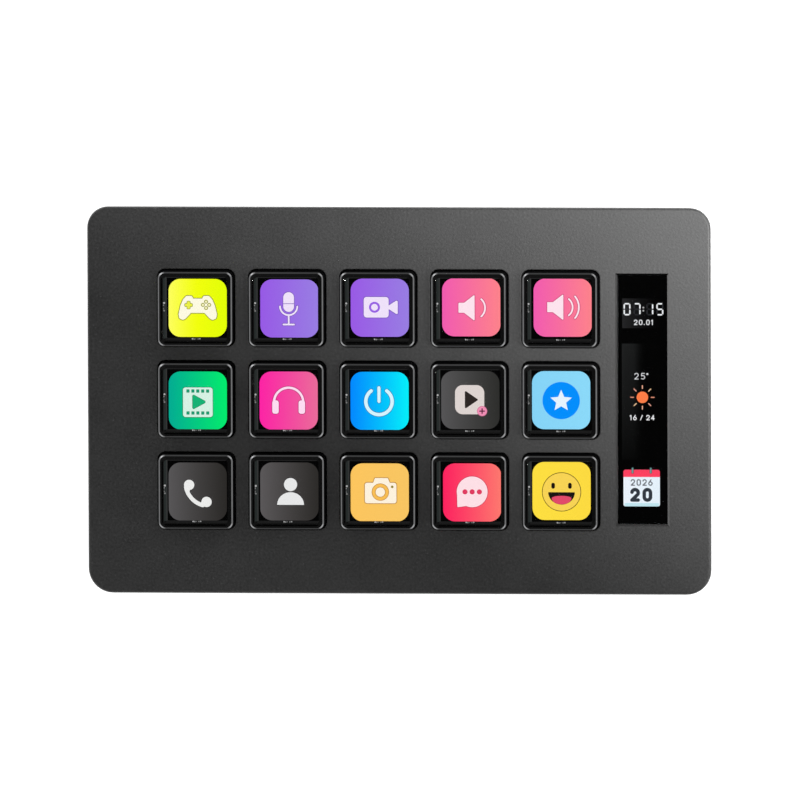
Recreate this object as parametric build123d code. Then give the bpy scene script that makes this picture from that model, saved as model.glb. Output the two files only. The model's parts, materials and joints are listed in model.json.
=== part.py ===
from build123d import *
import os

# Desktop macro keypad: fifteen clear display keys over one LCD, with a tall read-out strip beside them.
# The origin is the centre of the footprint on the desk. +X runs along the long side to the right,
# +Y to the rear edge with the USB socket, +Z up. All sizes are in millimetres.
# Each piece has its own function, and write() stores it as a node of its own.

# ---------------------------------------------------------------- housing
body_w = 130.0  # outer width of the top cover
body_d = 80.8  # outer depth of the top cover
corner_r_rear = 4.4  # plan radius of the two rear corners
corner_r_front = 5.2  # plan radius of the two front corners
wall_t = 2.0  # side walls of both covers, where they meet
panel_t = 1.6  # top panel
floor_t = 2.0  # floor of the bottom cover
split_z = 15.0  # height of the joint between the covers
reveal = 0.35  # step from the top cover's side in to the bottom cover's
base_inset = 2.6  # how far the sides taper in, from under the panel's edge to the base
top_edge_r = 0.6  # fillet round the panel
top_edge_band = 0.2  # upright band under that fillet
base_edge_r = 0.8  # fillet round the base
least_corner_r = 0.6  # smallest plan radius of an inner wall
lip_skin = 0.9  # outer skin of the top cover beside the locating lip
lip_h = 1.5  # height of the bottom cover's locating lip
lip_gap = 0.1  # side clearance of that lip
lip_head = 0.2  # clearance over that lip
loft_reach = 1.0  # cutting tools reach this far past what they cut

# ---------------------------------------------------------------- keys
columns = 5
rows = 3
pitch_x = 19.0
pitch_y = 19.1
grid_x = -4.3  # centre of the key grid from the centre of the body
grid_y = 0.2
window_w = 16.3  # square window in the panel
window_r = 1.7  # its corner radius
window_edge_r = 0.2  # fillet round its top edge
cap_gap = 0.2  # clearance of a cap in its window, each side
cap_draft = 0.22  # how far each side of a cap leans in, up to its top
cap_proud = 3.0  # height of the caps over the panel
cap_lean_below = 0.75  # the lean starts this far under the panel's face
cap_edge_w = 0.28  # bright chamfer round the cap's top: its width in plan
cap_edge_h = 0.2  # and its height
cap_rim = 0.35  # flat land inside that chamfer
cap_dish = 0.2  # depth of the sunk lens face
cap_dish_slope = 0.45  # width of the slope down to it
cap_lens_t = 5.0  # thickness of the clear block over the hollow
cap_wall_t = 1.3  # skirt below the lens
key_travel = 1.5
tab_w = 3.4  # retaining tab in the middle of each side
tab_out = 0.7  # how far a tab stands out of the skirt
tab_h = 0.95  # height of a tab
slide_gap = 0.15  # clearance of a cap in its guide, each side
stop_gap = 0.05  # between the tabs and the panel at rest

# ---------------------------------------------------------------- read-out strip
strip_w = 10.4  # cut-out in the panel
strip_l = 52.0
strip_gap = 3.65  # from the last key window to the cut-out
strip_shift_y = 0.15  # from the grid's centre line
strip_edge = 0.4  # chamfer round the cut-out
lens_gap = 0.1  # clearance of the lens in the cut-out, each side
lens_sunk = 0.3  # lens face under the panel face
lens_flange = 1.0  # glued flange under the panel
lens_flange_t = 0.8

# ---------------------------------------------------------------- stack under the panel
mat_t = 0.7  # base of the silicone key mat
ring_t = 0.7  # thrust ring that carries a cap
ring_w = 1.1  # width of that ring
ring_inset = 0.1  # ring inside the cap's skirt
web_t = 0.35  # thin web that buckles when the key is pressed
web_run = 0.75  # how far the web spreads from ring to base
web_join = 0.35  # height of the web's end on the ring's side
pill_l = 6.0  # carbon contact pills, two to a key
pill_w = 0.9
pill_t = 0.15
contact_gap = 0.05  # what is left under a pill at full travel
seat_gap = 0.05  # between a cap and its ring at rest
guide_relief_h = 1.45  # height of the wide foot of each guide chimney
guide_inset = 0.2  # guide frame inside the LCD's outline
sheet_t = 0.25  # printed contact sheet
sheet_window_gap = 0.1  # its window's edge inside the thrust ring, each side
glass_t = 1.5  # LCD cell
glass_ledge = 1.9  # bonding ledge along the front of the lower glass
backlight_t = 1.4
lcd_margin_x = 3.2  # LCD past the outermost windows, at the sides
lcd_margin_y = 2.2  # and at the front and rear
tray_t = 0.8  # steel tray that clamps the stack to the top cover
tray_lip_t = 0.5
tray_lip_h = 2.6
tray_gap = 0.1  # LCD in the tray, each side
ear_w = 7.0  # screw ears of the tray
ear_gap = 0.45  # between the tray's side and the boss over an ear
ear_screw_x = 40.0  # their screws, each side of the body's centre line

# ---------------------------------------------------------------- circuit board and socket
board_gap_x = 0.7  # from the board to the case columns at its ends
board_gap_front = 0.6  # to those in front of it
board_gap_rear = 0.38  # to the rear wall
board_t = 1.6
board_corner = 1.0  # chamfer of its corners
board_standoff = 2.0
board_headroom = 4.2  # from the board up to the tray
board_screw_x = 48.0
board_screw_y = 25.0
socket_w = 8.94  # USB type C receptacle shell
socket_h = 3.26
socket_l = 7.35
socket_t = 0.3
socket_sunk = 0.45  # mouth of the shell behind the rear wall's face
socket_slot_gap = 0.35  # clearance of the shell in the wall, each side
tongue_w = 6.65
tongue_t = 0.7
tongue_l = 5.0
socket_block_l = 1.5  # insulator that closes the shell's inner end
ribbon_t = 0.2
ribbon_bend_r = 0.4
ribbon_out = 1.4  # how far a ribbon leaves the stack before it folds down
ribbon_drop = 1.4  # how far under the tray it runs back
ribbon_ramp = 1.5  # length of its last slope, and of the level run into the connector
ribbon_bond = 0.4  # bonded length on the glass
lcd_ribbon_w = 20.0
lcd_ribbon_x = -18.0
key_ribbon_w = 8.0
key_ribbon_x = 20.0
connector_h = 2.0
connector_l = 4.0
connector_past = 1.0  # connector past its ribbon, each side
connector_y = -22.0  # ribbon side of the connectors
chip_sizes = [(-18, 8, 12, 12, 1.4), (4, 10, 6, 8, 1.2), (-18, -8, 9, 9, 1.0), (26, 16, 5, 4, 1.1)]
coil_places = [(34, 6), (34, -4)]
coil_r = 2.6
coil_h = 2.4
capacitor_x = -30.0  # first of each row
capacitor_step = 5.0
capacitor_count = 6
capacitor_rows = [20.0, -15.0]
capacitor_l = 1.6
capacitor_w = 0.8

# ---------------------------------------------------------------- screws and feet
screw_inset = 7.4  # case screws from the body's outline
case_boss_r = 2.6
case_column_r = 3.4
case_seat_z = 8.0  # where column and boss meet
case_head_r = 2.1
case_head_h = 1.5
case_shank_r = 1.2
case_head_sunk = 0.5
least_roof_t = 0.8  # panel left over a case screw's pilot hole
case_screw_l = 11.0  # under the head
tray_boss_r = 2.3
small_head_r = 1.75
small_head_h = 1.3
small_shank_r = 0.95
tray_hole_l = 5.0  # pilot holes of the tray screws
board_boss_r = 2.5
board_hole_l = 2.8  # pilot holes of the board screws
hole_spare = 0.4  # pilot hole left under a small screw's end
head_gap = 0.3  # counterbore round a case screw's head
hole_gap = 0.15  # clearance holes
pilot_gap = 0.03  # screw shank in its pilot hole
cross_w = 0.5  # driver slots
cross_reach = 0.6  # their length from the middle, as a share of the head's radius
cross_share = 0.55  # their depth, as a share of the head's height
head_bevel = 0.25  # chamfer of a head, as a share of its height
tip_bevel = 0.4  # chamfer of a shank's end, as a share of its radius
foot_l = 20.0
foot_w = 8.0
foot_t = 2.0
foot_proud = 1.2
foot_edge = 0.3
foot_gap = 0.1
foot_x = 43.0
foot_y = 31.0
rib_t = 1.2
rib_h = 1.4
label_l = 62.0  # blank recess for a label in the base
label_w = 24.0
label_r = 2.0
label_sunk = 0.25

# ---------------------------------------------------------------- heights, from the desk up
base_z = foot_proud
floor_top = base_z + floor_t
board_z = floor_top + board_standoff
board_top = board_z + board_t
tray_z = board_top + board_headroom
lcd_z = tray_z + tray_t
glass_z = lcd_z + backlight_t
sheet_z = glass_z + glass_t
mat_z = sheet_z + sheet_t
mat_top = mat_z + mat_t
pill_z = mat_z + key_travel + contact_gap
ring_z = pill_z + pill_t
ring_top = ring_z + ring_t
cap_foot_z = ring_top + seat_gap
tab_top = cap_foot_z + tab_h
panel_under = tab_top + stop_gap
panel_z = panel_under + panel_t
cap_top_z = panel_z + cap_proud
taper_z = panel_z - top_edge_r - top_edge_band

# ---------------------------------------------------------------- places and sizes that follow
cap_w = window_w - 2 * cap_gap
cap_top_w = cap_w - 2 * cap_draft
cap_r = window_r - cap_gap
ring_out_w = cap_w - 2 * ring_inset
ring_in_w = ring_out_w - 2 * ring_w
sheet_window_w = ring_in_w - 2 * sheet_window_gap
web_w = ring_out_w + 2 * web_run
chimney_w = cap_w + 2 * slide_gap
relief_w = cap_w + 2 * (tab_out + slide_gap)
key_places = [
    (
        f"r{row + 1}c{column + 1}",
        grid_x + (column - (columns - 1) / 2) * pitch_x,
        grid_y + ((rows - 1) / 2 - row) * pitch_y,
    )
    for row in range(rows)
    for column in range(columns)
]
grid_right = grid_x + (columns - 1) / 2 * pitch_x + window_w / 2
grid_left = grid_x - (columns - 1) / 2 * pitch_x - window_w / 2
grid_half_y = (rows - 1) / 2 * pitch_y + window_w / 2
strip_x = grid_right + strip_gap + strip_w / 2
strip_y = grid_y + strip_shift_y
lcd_left = grid_left - lcd_margin_x
lcd_right = strip_x + strip_w / 2 + lcd_margin_x
lcd_half_y = max(grid_half_y, strip_l / 2) + lcd_margin_y
lcd_front = grid_y - lcd_half_y
lcd_rear = grid_y + lcd_half_y
tray_out = tray_gap + tray_lip_t
ear_reach = tray_out + ear_gap + tray_boss_r
ear_places = [
    (side * ear_screw_x, y, toward)
    for side in (-1, 1)
    for y, toward in ((lcd_front - ear_reach, -1), (lcd_rear + ear_reach, 1))
]
case_x = body_w / 2 - screw_inset
case_y = body_d / 2 - screw_inset
case_places = [(x, y) for x in (-case_x, case_x) for y in (-case_y, case_y)] + [(0, -case_y)]
case_seat = base_z + case_head_sunk + case_head_h
board_places = [(x, y) for x in (-board_screw_x, board_screw_x) for y in (-board_screw_y, board_screw_y)]
foot_places = [(x, y) for x in (-foot_x, foot_x) for y in (-foot_y, foot_y)]
socket_z = board_top + socket_h / 2


def taper(z):
    """How far the top cover's outer side lies inside the body's outline at height z."""
    return base_inset * (taper_z - z) / (taper_z - base_z)


def side_inset(z):
    """How far the bottom cover's outer side lies inside the body's outline at height z."""
    return reveal + taper(z)


socket_y = body_d / 2 - side_inset(socket_z) - socket_sunk
board_x = case_x - case_column_r - board_gap_x
board_front = -(case_y - case_column_r - board_gap_front)
board_rear = body_d / 2 - side_inset(board_z) - wall_t - board_gap_rear


# ---------------------------------------------------------------- shapes that several pieces use
def plan(inset, z):
    """The body's outline, moved in by inset, as a face at height z."""
    face = Rectangle(body_w - 2 * inset, body_d - 2 * inset)
    face = fillet(face.vertices().group_by(Axis.Y)[-1], max(corner_r_rear - inset, least_corner_r))
    face = fillet(face.vertices().group_by(Axis.Y)[0], max(corner_r_front - inset, least_corner_r))
    return Pos(0, 0, z) * face


def square(w, r, z):
    """A rounded square of width w, centred on a key, as a face at height z."""
    return Pos(0, 0, z) * RectangleRounded(w, w, r)


def block(x0, x1, y0, y1, z0, z1):
    """A box from its lowest and highest corners."""
    return Pos((x0 + x1) / 2, (y0 + y1) / 2, (z0 + z1) / 2) * Box(x1 - x0, y1 - y0, z1 - z0)


def post(x, y, r, z0, z1):
    """An upright cylinder."""
    return Pos(x, y, (z0 + z1) / 2) * Cylinder(r, z1 - z0)


def prism(face, height):
    """A face raised straight up."""
    return extrude(face, height, dir=(0, 0, 1))


def at_keys(shape):
    """A copy of shape at every key."""
    return [Pos(x, y, 0) * shape for _, x, y in key_places]


def screw(head_r, head_h, shank_r, length):
    """A pan-head cross screw that points up, its head's underside at z = 0."""
    head = Pos(0, 0, -head_h / 2) * Cylinder(head_r, head_h)
    head = chamfer(head.edges().group_by(Axis.Z)[0], head_h * head_bevel)
    shank = Pos(0, 0, length / 2) * Cylinder(shank_r, length)
    shank = chamfer(shank.edges().group_by(Axis.Z)[-1], shank_r * tip_bevel)
    depth = head_h * cross_share
    across = 2 * cross_reach * head_r
    slots = Box(across, cross_w, depth) + Box(cross_w, across, depth)
    return head + shank - Pos(0, 0, -head_h + depth / 2) * slots


# ---------------------------------------------------------------- covers
def top_cover():
    """Panel and side walls, with fifteen key windows, the strip's cut-out, bosses and gussets."""
    foot_in = taper(split_z)
    inner = foot_in + wall_t
    edge = prism(plan(0, taper_z), panel_z - taper_z)
    edge = fillet(edge.edges().group_by(Axis.Z)[-1], top_edge_r)
    cover = loft([plan(foot_in, split_z).face(), plan(0, taper_z).face()]) + edge
    cover -= prism(plan(inner, split_z), panel_under - split_z)
    cover -= prism(plan(foot_in + lip_skin, split_z), lip_h + lip_head)
    cover -= at_keys(prism(square(window_w, window_r, panel_under), panel_t))
    cut = Pos(strip_x, strip_y, panel_under) * Rectangle(strip_w, strip_l)
    cover -= prism(cut, panel_t)
    face = cover.faces().sort_by(Axis.Z)[-1]
    rims = sorted(face.inner_wires(), key=lambda wire: wire.bounding_box().size.Y)
    cover = fillet([edge for wire in rims[:-1] for edge in wire.edges()], window_edge_r)
    face = cover.faces().sort_by(Axis.Z)[-1]
    cut_wire = max(face.inner_wires(), key=lambda wire: wire.bounding_box().size.Y)
    cover = chamfer(cut_wire.edges(), strip_edge)
    gusset_z = split_z + lip_h + 2 * lip_head
    wall_x = body_w / 2 - inner
    wall_y = body_d / 2 - inner
    for x, y in case_places:
        cover += post(x, y, case_boss_r, case_seat_z, panel_under)
        outward = 1 if y > 0 else -1
        y0, y1 = sorted((y, outward * (wall_y + wall_t / 2)))
        cover += block(x - rib_t / 2, x + rib_t / 2, y0, y1, gusset_z, panel_under)
        if x:
            x0, x1 = sorted((x, (wall_x + wall_t / 2) * (1 if x > 0 else -1)))
            cover += block(x0, x1, y - rib_t / 2, y + rib_t / 2, gusset_z, panel_under)
    hole_top = min(case_seat_z + case_screw_l, panel_under - least_roof_t)
    for x, y in case_places:
        cover -= post(x, y, case_shank_r + pilot_gap, case_seat_z, hole_top)
    for x, y, _ in ear_places:
        cover += post(x, y, tray_boss_r, lcd_z, panel_under)
        cover -= post(x, y, small_shank_r + pilot_gap, lcd_z, lcd_z + tray_hole_l)
    return cover


def bottom_cover():
    """Tapered tray with screw columns, board posts, ribs, foot and label recesses and the socket's slot."""
    cover = loft([plan(side_inset(base_z), base_z).face(), plan(side_inset(split_z), split_z).face()])
    cover = fillet(cover.edges().group_by(Axis.Z)[0], base_edge_r)
    low = plan(side_inset(floor_top) + wall_t, floor_top)
    high = plan(side_inset(split_z) + wall_t, split_z)
    cover -= loft([low.face(), high.face()])
    lip = prism(plan(taper(split_z) + lip_skin + lip_gap, split_z), lip_h)
    cover += lip - prism(plan(side_inset(split_z) + wall_t, split_z), lip_h)
    rib_x = board_screw_x / 3
    room = loft([low.face(), high.face()])
    ribs = [block(x - rib_t / 2, x + rib_t / 2, -body_d, body_d, floor_top, floor_top + rib_h)
            for x in (-2 * rib_x, 0, 2 * rib_x)]
    ribs += [block(-body_w, body_w, y - rib_t / 2, y + rib_t / 2, floor_top, floor_top + rib_h)
             for y in (-board_screw_y / 2, board_screw_y / 2)]
    for rib in ribs:
        cover += rib & room
    for x, y in board_places:
        cover += post(x, y, board_boss_r, floor_top, board_z)
        cover -= post(x, y, small_shank_r + pilot_gap, board_z - board_hole_l, board_z)
    for x, y in case_places:
        column = post(x, y, case_column_r, floor_top, case_seat_z)
        core = post(x, y, case_boss_r, floor_top, case_seat_z)
        cover += column & (room + core)
        cover -= post(x, y, case_head_r + head_gap, base_z, case_seat)
        cover -= post(x, y, case_shank_r + hole_gap, case_seat, case_seat_z)
    for x, y in foot_places:
        pad = Pos(x, y, base_z) * SlotOverall(foot_l + 2 * foot_gap, foot_w + 2 * foot_gap)
        cover -= prism(pad, foot_t - foot_proud)
    label = Pos(0, 0, base_z) * RectangleRounded(label_l, label_w, label_r)
    cover -= prism(label, label_sunk)
    slot_l = wall_t + base_inset + reveal + loft_reach
    cover -= extrude(socket_outline(socket_slot_gap, body_d / 2), slot_l, dir=(0, -1, 0))
    return cover


def rubber_feet():
    """Four pads, sunk in the base."""
    pad = prism(SlotOverall(foot_l, foot_w), foot_t)
    pad = chamfer(pad.edges().group_by(Axis.Z)[0], foot_edge)
    return Compound([Pos(x, y, 0) * pad for x, y in foot_places])


# ---------------------------------------------------------------- keys
def keycap():
    """A clear cap: sunk lens face inside a chamfered rim, hollow skirt and four retaining tabs."""
    lean_z = panel_z - cap_lean_below
    edge_z = cap_top_z - cap_edge_h
    edge_r = cap_r - cap_draft / 2
    face_w = cap_top_w - 2 * cap_edge_w
    face_r = edge_r - cap_edge_w
    cap = prism(square(cap_w, cap_r, cap_foot_z), lean_z - cap_foot_z)
    cap += loft([square(cap_w, cap_r, lean_z).face(), square(cap_top_w, edge_r, edge_z).face()])
    cap += loft([square(cap_top_w, edge_r, edge_z).face(), square(face_w, face_r, cap_top_z).face()])
    dish_w = face_w - 2 * cap_rim
    dish_floor_w = dish_w - 2 * cap_dish_slope
    cap -= loft([square(dish_w, face_r, cap_top_z).face(),
                 square(dish_floor_w, face_r - cap_dish_slope, cap_top_z - cap_dish).face()])
    tab = block(-tab_w / 2, tab_w / 2, -cap_w / 2 - tab_out, cap_w / 2 + tab_out, cap_foot_z, tab_top)
    cap += tab + Rot(0, 0, 90) * tab
    hollow_w = cap_w - 2 * cap_wall_t
    cap -= prism(square(hollow_w, cap_r - cap_wall_t / 2, cap_foot_z), cap_top_z - cap_lens_t - cap_foot_z)
    return cap


def key_mat():
    """Silicone sheet with a buckling web, thrust ring and two contact pills under every cap."""
    centre_x, width = (lcd_left + lcd_right) / 2, lcd_right - lcd_left
    mat = Pos(centre_x, grid_y, mat_z) * Rectangle(width, 2 * lcd_half_y)
    mat = prism(mat, mat_t)
    mat -= block(strip_x - strip_w / 2, strip_x + strip_w / 2, strip_y - strip_l / 2, strip_y + strip_l / 2,
                 mat_z, mat_top)
    foot_w_in = web_w - 2 * web_t
    mat -= at_keys(prism(square(foot_w_in, window_r, mat_z), mat_t))
    web_top = ring_z + web_join
    web = loft([square(web_w, window_r, mat_top).face(), square(ring_out_w, cap_r, web_top).face()])
    web -= loft([square(foot_w_in, window_r, mat_top).face(),
                 square(ring_out_w - 2 * web_t, cap_r - web_t, web_top).face()])
    ring = prism(square(ring_out_w, cap_r, ring_z), ring_t)
    ring -= prism(square(ring_in_w, cap_r / 2, ring_z), ring_t)
    pill_x = ring_in_w / 2 + ring_w / 2
    pills = [block(x - pill_w / 2, x + pill_w / 2, -pill_l / 2, pill_l / 2, pill_z, ring_z)
             for x in (-pill_x, pill_x)]
    return mat + at_keys(web + ring + pills)


def key_guide_frame():
    """Black lattice whose chimneys guide the caps and their tabs, with the strip's light shaft."""
    x0, x1 = lcd_left + guide_inset, lcd_right - guide_inset
    frame = block(x0, x1, lcd_front + guide_inset, lcd_rear - guide_inset, mat_top, panel_under)
    chimney = prism(square(chimney_w, cap_r + slide_gap, mat_top), panel_under - mat_top)
    chimney += prism(square(relief_w, window_r, mat_top), guide_relief_h)
    slot_x = tab_w / 2 + slide_gap
    slot = block(-slot_x, slot_x, -relief_w / 2, relief_w / 2, mat_top, panel_under)
    chimney += slot + Rot(0, 0, 90) * slot
    frame -= at_keys(chimney)
    shaft_x, shaft_y = strip_w / 2 + slide_gap, strip_l / 2 + slide_gap
    frame -= block(strip_x - shaft_x, strip_x + shaft_x, strip_y - shaft_y, strip_y + shaft_y,
                   mat_top, panel_under)
    seat_x, seat_y = strip_w / 2 + lens_flange, strip_l / 2 + lens_flange
    frame -= block(strip_x - seat_x, strip_x + seat_x, strip_y - seat_y, strip_y + seat_y,
                   panel_under - lens_flange_t - stop_gap, panel_under)
    return frame


def strip_lens():
    """Flanged clear window over the read-out strip."""
    half_x, half_y = strip_w / 2 - lens_gap, strip_l / 2 - lens_gap
    flange_x, flange_y = half_x + lens_flange, half_y + lens_flange
    lens = block(-flange_x, flange_x, -flange_y, flange_y, panel_under - lens_flange_t, panel_under)
    lens += block(-half_x, half_x, -half_y, half_y, panel_under, panel_z - lens_sunk)
    return Pos(strip_x, strip_y, 0) * lens


# ---------------------------------------------------------------- display stack
def contact_sheet():
    """Printed film with a window under each key and under the strip."""
    sheet = block(lcd_left, lcd_right, lcd_front, lcd_rear, sheet_z, mat_z)
    sheet -= at_keys(prism(square(sheet_window_w, cap_r / 2, sheet_z), sheet_t))
    return sheet - block(strip_x - strip_w / 2, strip_x + strip_w / 2,
                         strip_y - strip_l / 2, strip_y + strip_l / 2, sheet_z, mat_z)


def lcd_glass():
    """The LCD cell: the lower glass keeps a bonding ledge along the front."""
    half = glass_z + glass_t / 2
    glass = block(lcd_left, lcd_right, lcd_front, lcd_rear, glass_z, half)
    return glass + block(lcd_left, lcd_right, lcd_front + glass_ledge, lcd_rear, half, sheet_z)


def lcd_backlight():
    """Light guide and its frame, as one plate."""
    return block(lcd_left, lcd_right, lcd_front, lcd_rear, lcd_z, glass_z)


def lcd_tray():
    """Folded steel tray: floor, lips on three sides, two front lips and four screw ears."""
    left, right = lcd_left - tray_out, lcd_right + tray_out
    front, rear = lcd_front - tray_out, lcd_rear + tray_out
    tray = block(left, right, lcd_front, rear, tray_z, lcd_z)
    lip_top = lcd_z + tray_lip_h
    tray += block(left, left + tray_lip_t, lcd_front, rear, lcd_z, lip_top)
    tray += block(right - tray_lip_t, right, lcd_front, rear, lcd_z, lip_top)
    tray += block(left, right, rear - tray_lip_t, rear, lcd_z, lip_top)
    for x, y, toward in ear_places:
        edge = rear if toward > 0 else front
        y0, y1 = sorted((edge - toward * 2 * tray_out, y))
        ear = block(x - ear_w / 2, x + ear_w / 2, y0, y1, tray_z, lcd_z)
        ear += post(x, y, ear_w / 2, tray_z, lcd_z)
        if toward < 0:
            ear += block(x - ear_w / 2, x + ear_w / 2, edge, edge + tray_lip_t, lcd_z, lip_top)
        tray += ear
        tray -= post(x, y, small_shank_r + hole_gap, tray_z, lcd_z)
    return tray


# ---------------------------------------------------------------- board, socket and ribbons
def main_board():
    """Circuit board with its four screw holes."""
    board = block(-board_x, board_x, board_front, board_rear, board_z, board_top)
    board = chamfer(board.edges().filter_by(Axis.Z), board_corner)
    for x, y in board_places:
        board -= post(x, y, small_shank_r + hole_gap, board_z, board_top)
    return board


def board_chips():
    """Processor, memory and LCD driver packages."""
    return Compound([block(x - w / 2, x + w / 2, y - d / 2, y + d / 2, board_top, board_top + h)
                     for x, y, w, d, h in chip_sizes])


def board_passives():
    """Two coils and two rows of chip capacitors."""
    parts = [post(x, y, coil_r, board_top, board_top + coil_h) for x, y in coil_places]
    for y in capacitor_rows:
        for i in range(capacitor_count):
            x = capacitor_x + capacitor_step * i
            parts.append(block(x, x + capacitor_l, y, y + capacitor_w, board_top, board_top + capacitor_w))
    return Compound(parts)


def socket_outline(grow, y):
    """The receptacle's rounded section, grown by grow, as a face across Y."""
    w, h = socket_w + 2 * grow, socket_h + 2 * grow
    return Plane.XZ.offset(-y) * Pos(0, socket_z) * SlotOverall(w, h)


def usb_socket_shell():
    """Drawn steel shell, open at both ends."""
    shell = extrude(socket_outline(0, socket_y), socket_l, dir=(0, -1, 0))
    return shell - extrude(socket_outline(-socket_t, socket_y), socket_l, dir=(0, -1, 0))


def usb_socket_tongue():
    """Insulator block that closes the shell's inner end, with the contact tongue."""
    inner = socket_y - socket_l
    front = inner + socket_block_l
    body = extrude(socket_outline(-socket_t, front), socket_block_l, dir=(0, -1, 0))
    return body + block(-tongue_w / 2, tongue_w / 2, front, front + tongue_l,
                        socket_z - tongue_t / 2, socket_z + tongue_t / 2)


def ribbon(x, width, start_y, start_z):
    """A flat cable that leaves the stack forwards, folds down and runs back to its connector."""
    out_y = lcd_front - ribbon_out
    low_z = tray_z - ribbon_drop
    end_z = board_top + connector_h / 2
    points = [(start_y, start_z), (out_y, start_z), (out_y, low_z), (connector_y - 2 * ribbon_ramp, low_z),
              (connector_y - ribbon_ramp, end_z), (connector_y, end_z)]
    path = FilletPolyline(*points, radius=ribbon_bend_r)
    strip = Plane.YZ.offset(x - width / 2) * trace(path, ribbon_t)
    return extrude(strip, width, dir=(1, 0, 0))


def lcd_ribbon():
    """From the bonding ledge of the glass to the board."""
    ledge_z = glass_z + glass_t / 2 + ribbon_t / 2
    return ribbon(lcd_ribbon_x, lcd_ribbon_w, lcd_front + glass_ledge - ribbon_bond, ledge_z)


def key_ribbon():
    """From the contact sheet to the board."""
    return ribbon(key_ribbon_x, key_ribbon_w, lcd_front, sheet_z + sheet_t / 2)


def ribbon_connectors():
    """Two low connectors that the ribbons end in."""
    connectors = []
    for x, w in ((lcd_ribbon_x, lcd_ribbon_w), (key_ribbon_x, key_ribbon_w)):
        half = w / 2 + connector_past
        connectors.append(block(x - half, x + half, connector_y, connector_y + connector_l,
                                board_top, board_top + connector_h))
    return Compound(connectors)


# ---------------------------------------------------------------- screws
def case_screws():
    """Five screws from the base into the top cover."""
    one = screw(case_head_r, case_head_h, case_shank_r, case_screw_l)
    return Compound([Pos(x, y, case_seat) * one for x, y in case_places])


def tray_screws():
    """Four screws that hold the tray to the top cover."""
    one = screw(small_head_r, small_head_h, small_shank_r, tray_t + tray_hole_l - hole_spare)
    return Compound([Pos(x, y, tray_z) * one for x, y, _ in ear_places])


def board_screws():
    """Four screws that hold the board to the bottom cover."""
    length = board_t + board_hole_l - hole_spare
    one = Rot(180, 0, 0) * screw(small_head_r, small_head_h, small_shank_r, length)
    return Compound([Pos(x, y, board_top) * one for x, y in board_places])


def write(name, shape):
    """Stores one node."""
    export_step(shape, f"parts/{name}.step")
    print(name, round(shape.volume, 2))


os.makedirs("parts", exist_ok=True)
pieces = [
    top_cover, bottom_cover, rubber_feet, key_mat, key_guide_frame, strip_lens, contact_sheet, lcd_glass,
    lcd_backlight, lcd_tray, main_board, board_chips, board_passives, usb_socket_shell, usb_socket_tongue,
    lcd_ribbon, key_ribbon, ribbon_connectors, case_screws, tray_screws, board_screws,
]
for piece in pieces:
    write(piece.__name__, piece())
cap = keycap()
for name, x, y in key_places:
    write(f"keycap_{name}", Pos(x, y, 0) * cap)
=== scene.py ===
import json
import math

import bpy
import numpy as np
from mathutils import Matrix, Vector

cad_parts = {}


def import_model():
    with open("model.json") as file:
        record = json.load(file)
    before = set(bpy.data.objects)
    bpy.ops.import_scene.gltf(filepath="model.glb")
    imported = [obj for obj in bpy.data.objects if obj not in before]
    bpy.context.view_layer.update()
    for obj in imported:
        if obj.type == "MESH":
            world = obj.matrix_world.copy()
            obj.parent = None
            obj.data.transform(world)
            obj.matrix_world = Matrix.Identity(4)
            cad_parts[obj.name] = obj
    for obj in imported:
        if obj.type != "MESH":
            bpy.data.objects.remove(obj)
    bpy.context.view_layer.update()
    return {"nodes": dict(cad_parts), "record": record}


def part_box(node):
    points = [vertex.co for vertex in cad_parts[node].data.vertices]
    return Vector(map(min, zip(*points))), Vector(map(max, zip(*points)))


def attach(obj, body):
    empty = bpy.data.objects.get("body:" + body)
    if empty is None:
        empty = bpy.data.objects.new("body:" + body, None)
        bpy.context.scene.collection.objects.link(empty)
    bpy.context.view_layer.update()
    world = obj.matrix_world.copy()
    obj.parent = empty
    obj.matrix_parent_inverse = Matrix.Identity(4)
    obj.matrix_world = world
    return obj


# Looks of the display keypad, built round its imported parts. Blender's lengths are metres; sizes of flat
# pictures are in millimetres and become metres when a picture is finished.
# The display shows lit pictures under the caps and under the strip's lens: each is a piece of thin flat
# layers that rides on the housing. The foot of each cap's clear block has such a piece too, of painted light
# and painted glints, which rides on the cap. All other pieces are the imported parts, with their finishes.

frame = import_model()

MM = 0.001
display_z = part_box("lcd_glass")[1].z  # face of the display
panel_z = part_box("top_cover")[1].z  # face of the panel
LAYER = 0.02  # height of one picture layer over the next, in mm

# ---------------------------------------------------------------- colours
EYE = 2.4  # the power that turns even steps to the eye into light


def linear(*srgb):
    """A colour written as screen values from 0 to 255, as linear light."""
    c = np.array(srgb, float) / 255
    return np.where(c <= 0.04045, c / 12.92, ((c + 0.055) / 1.055) ** EYE)


def grey(level):
    """A grey of one screen value."""
    return linear(level, level, level)


FIGURE = linear(238, 240, 242)  # a lit stroke of the clock
GHOST = linear(44, 45, 48)  # a stroke that is off
BLACK = linear(0, 0, 0)

# ---------------------------------------------------------------- outlines of flat shapes, in mm
# Points on a corner's round, on a disc or dome, and on a bent stroke.
CORNER_POINTS, ROUND_POINTS, ARC_POINTS = 10, 40, 48
STAR_GROWTH = 1.6  # how much further a star's corners go out than its edges


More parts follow.
